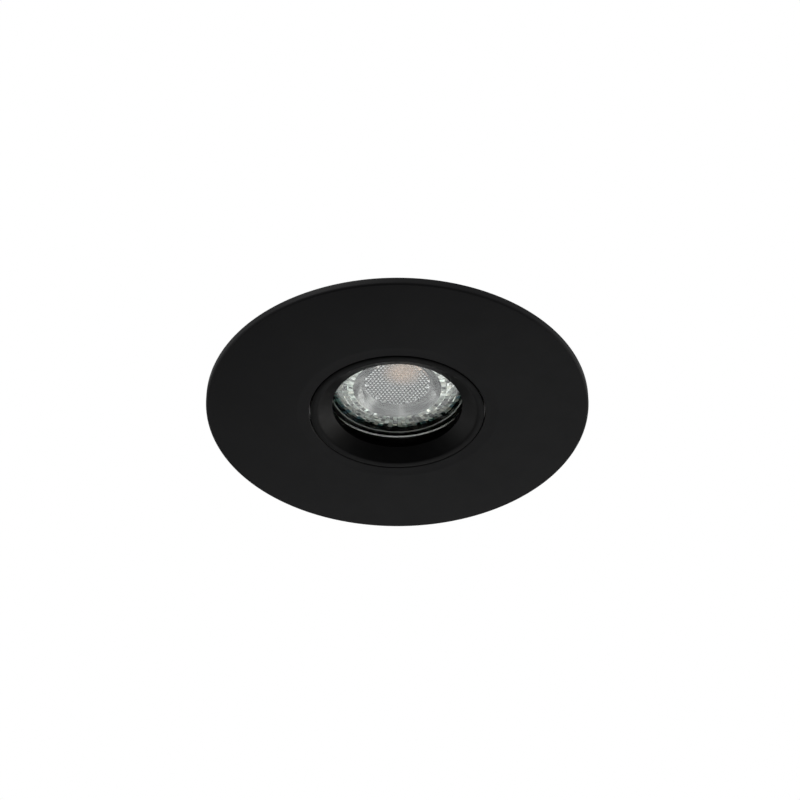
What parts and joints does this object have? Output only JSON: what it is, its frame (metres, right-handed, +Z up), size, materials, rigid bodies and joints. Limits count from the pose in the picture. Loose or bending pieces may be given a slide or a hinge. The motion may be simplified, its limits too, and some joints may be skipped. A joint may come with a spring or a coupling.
{
  "type": "soffit downlight",
  "caption": "Round black recessed soffit downlight with a twist-off glazed bezel, spring clips, can and terminal box.",
  "frame": {"origin": "on the lamp's axis, in the plane of the soffit's underside, where the gasket seats", "axes": "+Z up into the soffit along the lamp's axis, +X towards the cable entry and one spring clip"},
  "size_m": [0.14, 0.14, 0.1233],
  "materials": {
    "black_coat": "satin black coating",
    "black_dish": "satin black coating",
    "cast_metal": "as cast",
    "can_zinc": "zinc-plated sheet",
    "steel": "bright zinc",
    "spring_steel": "spring wire",
    "stainless": "stainless wire",
    "foam": "closed-cell foam",
    "black_rubber": "matt rubber",
    "silicone": "translucent silicone",
    "clear_glass": "clear toughened glass",
    "lamp_glass": "moulded glass",
    "lens": "clear moulded lens",
    "board": "white circuit board",
    "driver": "green circuit board",
    "lamp_base": "white moulding",
    "nickel": "nickel plate",
    "ceramic": "unglazed steatite",
    "brass": "bright brass",
    "tin": "tinned copper",
    "box_plastic": "black moulding",
    "block_plastic": "natural polyamide",
    "live_sleeve": "brown silicone",
    "neutral_sleeve": "blue silicone",
    "earth_sleeve": "green silicone with a yellow stripe"
  },
  "bodies": {
    "housing": {"trim_plate": "black_coat", "soffit_gasket": "foam", "lock_collar": "cast_metal", "flange_gasket": "black_rubber", "lamp_can": "can_zinc", "flange_screws": "steel", "bracket_rivets": "steel", "lampholder": "ceramic", "holder_contacts": "brass", "holder_bracket": "can_zinc", "holder_screws": "steel", "roof_screws": "steel", "roof_nuts": "steel", "lead_grommet": "black_rubber", "earth_tag": "tin", "earth_screw": "steel", "earth_nut": "steel", "terminal_base": "box_plastic", "terminal_block": "block_plastic", "terminal_barrels": "brass", "terminal_screws": "steel", "cord_clamp": "block_plastic", "clamp_screws": "steel", "cable_grommet": "black_rubber", "box_screws": "steel", "lid_pin": "steel", "clip_bracket_right": "can_zinc", "clip_bracket_left": "can_zinc", "pivot_pin_right": "steel", "pivot_pin_left": "steel", "clip_spring_right": "spring_steel", "clip_spring_left": "spring_steel", "live_lead": "live_sleeve", "neutral_lead": "neutral_sleeve", "earth_lead": "earth_sleeve"},
    "clip_right": {"spring_arm_right": "can_zinc", "arm_pad_right": "black_rubber"},
    "clip_left": {"spring_arm_left": "can_zinc", "arm_pad_left": "black_rubber"},
    "cover": {"glass_cover": "clear_glass", "glass_gasket": "silicone"},
    "bezel": {"bezel_ring": "black_dish", "glass_clip": "stainless", "bezel_seal": "black_rubber"},
    "lamp": {"lamp_shell": "lamp_glass", "lamp_lens": "lens", "lamp_board": "board", "lamp_base": "lamp_base", "lamp_pins": "nickel", "lamp_driver": "driver"},
    "lid": {"terminal_lid": "box_plastic"}
  },
  "joints": [
    {"name": "clip_right_swing", "type": "hinge", "parent": "housing", "child": "clip_right", "pos_m": [0.0435, 0, 0.025], "axis": [0, -1, 0], "range_deg": [0, 125], "stiffness_Nm_per_rad": 0.08, "springref_deg": -45.84, "deforming": ["clip_spring_right"]},
    {"name": "clip_left_swing", "type": "hinge", "parent": "housing", "child": "clip_left", "pos_m": [-0.0435, 0, 0.025], "axis": [0, 1, 0], "range_deg": [0, 125], "stiffness_Nm_per_rad": 0.08, "springref_deg": -45.84, "deforming": ["clip_spring_left"]},
    {"name": "bezel_drop", "type": "slide", "parent": "housing", "child": "cover", "axis": [0, 0, -1], "range_m": [0, 0.006]},
    {"name": "bezel_twist", "type": "hinge", "parent": "cover", "child": "bezel", "pos_m": [0, 0, 0], "axis": [0, 0, -1], "range_deg": [0, 60]},
    {"name": "lamp_twist", "type": "hinge", "parent": "housing", "child": "lamp", "pos_m": [0, 0, 0.06], "axis": [0, 0, -1], "range_deg": [0, 22]},
    {"name": "lid_swing", "type": "hinge", "parent": "housing", "child": "lid", "pos_m": [0, -0.0195, 0.1176], "axis": [1, 0, 0], "range_deg": [0, 110]}
  ],
  "couplings": [
    {"joint": "bezel_drop", "follows": "bezel_twist", "m_per_rad": 0.0057296}
  ]
}
